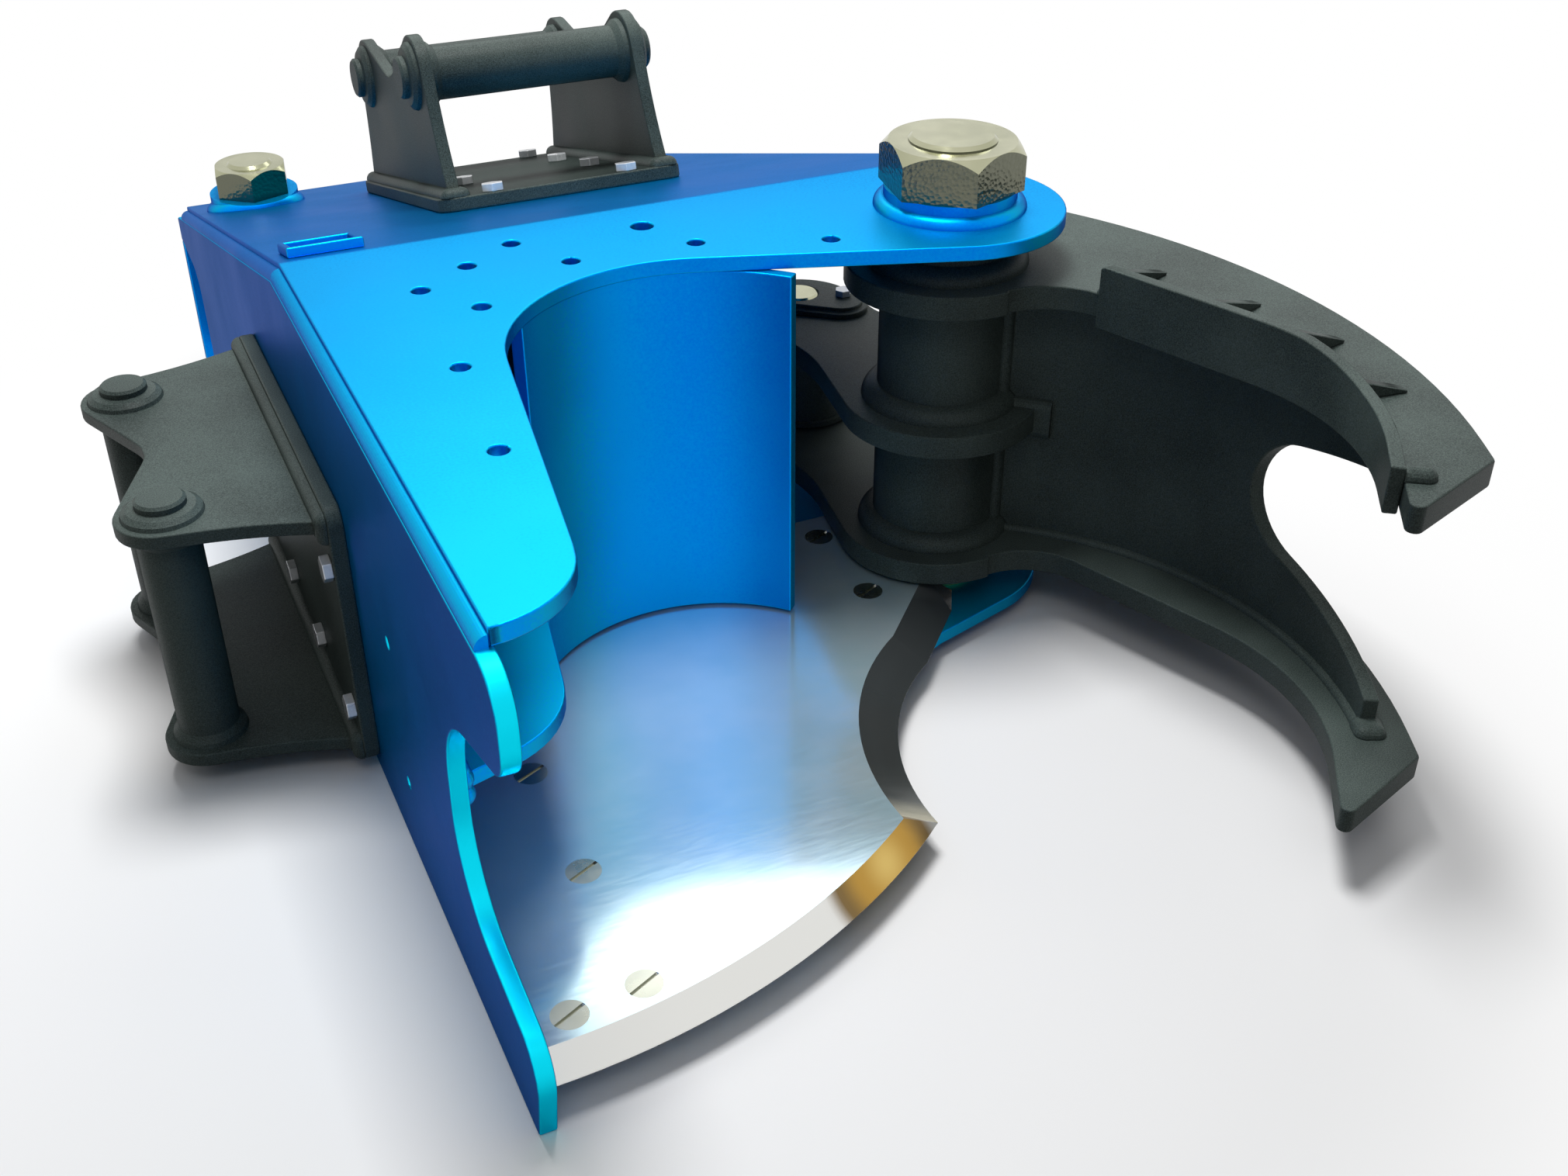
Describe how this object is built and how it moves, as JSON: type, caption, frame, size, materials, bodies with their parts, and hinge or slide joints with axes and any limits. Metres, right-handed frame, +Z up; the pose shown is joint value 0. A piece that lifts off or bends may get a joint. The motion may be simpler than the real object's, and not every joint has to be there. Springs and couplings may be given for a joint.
{
  "type": "excavator tree shear",
  "caption": "Hydraulic tree shear: welded frame with a polished blade, swinging grapple jaw, cylinder linkage and bolt-on coupler brackets.",
  "frame": {"origin": "on the axis of the main pivot, at the level of the lower face of its pin, on which the tool rests", "axes": "+X away from the side plate, along the pins of the top bracket; +Y towards the rear of the frame; +Z up along the main pivot"},
  "size_m": [0.8731, 1.2238, 0.4349],
  "materials": {
    "frame_paint": "satin blue paint",
    "charcoal_paint": "satin charcoal paint",
    "blade_steel": "ground and polished",
    "screw_steel": "dull machined",
    "nickel_steel": "polished, warm nickel tint",
    "zinc_bolt": "bright zinc",
    "chrome_rod": "hard chrome",
    "bronze": "machined bronze",
    "seal_rubber": "matt"
  },
  "bodies": {
    "frame": {"side_plate": "frame_paint", "top_plate": "frame_paint", "bottom_plate": "frame_paint", "rear_plate": "frame_paint", "shelf_plate": "frame_paint", "throat_panel": "frame_paint", "plate_frame": "frame_paint", "edge_weld": "frame_paint", "mouth_welds": "frame_paint", "pivot_collar": "frame_paint", "rear_collar": "frame_paint", "rear_bosses": "frame_paint", "thrust_washers": "bronze", "pivot_pin": "nickel_steel", "pivot_nut": "nickel_steel", "rear_pin": "nickel_steel", "rear_nut": "nickel_steel", "blade": "blade_steel", "blade_screws": "screw_steel", "top_bracket_base": "charcoal_paint", "top_bracket_ears": "charcoal_paint", "top_bracket_beads": "charcoal_paint", "top_bracket_bolts": "zinc_bolt", "top_bracket_front_pin": "charcoal_paint", "top_bracket_rear_pin": "charcoal_paint", "side_bracket_base": "charcoal_paint", "side_bracket_ears": "charcoal_paint", "side_bracket_beads": "charcoal_paint", "side_bracket_bolts": "zinc_bolt", "side_bracket_front_pin": "charcoal_paint", "side_bracket_rear_pin": "charcoal_paint"},
    "jaw": {"jaw_hub": "charcoal_paint", "hub_bushes": "bronze", "hub_beads": "charcoal_paint", "jaw_top_plate": "charcoal_paint", "jaw_middle_plate": "charcoal_paint", "jaw_bottom_plate": "charcoal_paint", "jaw_web": "charcoal_paint", "web_beads": "charcoal_paint", "grip_strip": "charcoal_paint", "strip_gussets": "charcoal_paint", "strip_welds": "charcoal_paint", "rod_pin": "nickel_steel", "keeper_plate": "charcoal_paint", "keeper_bolt": "zinc_bolt"},
    "barrel": {"cylinder_barrel": "charcoal_paint", "barrel_bush": "bronze", "cylinder_gland": "screw_steel"},
    "rod": {"cylinder_rod": "chrome_rod", "piston_seals": "seal_rubber", "rod_eye": "charcoal_paint"}
  },
  "joints": [
    {"name": "jaw_swing", "type": "hinge", "parent": "frame", "child": "jaw", "pos_m": [0, 0, 0.18], "axis": [0, 0, -1], "range_deg": [0, 60]},
    {"name": "barrel_swing", "type": "hinge", "parent": "frame", "child": "barrel", "pos_m": [-0.448, 0.62, 0.116], "axis": [0, 0, 1], "range_deg": [0, 5.6]},
    {"name": "rod_slide", "type": "slide", "parent": "barrel", "child": "rod", "axis": [0.7266, -0.687, 0], "range_m": [0, 0.2065]}
  ],
  "couplings": [
    {"joint": "barrel_swing", "follows": "jaw_swing", "ratio": 0.0905},
    {"joint": "rod_slide", "follows": "jaw_swing", "m_per_rad": 0.1964}
  ]
}
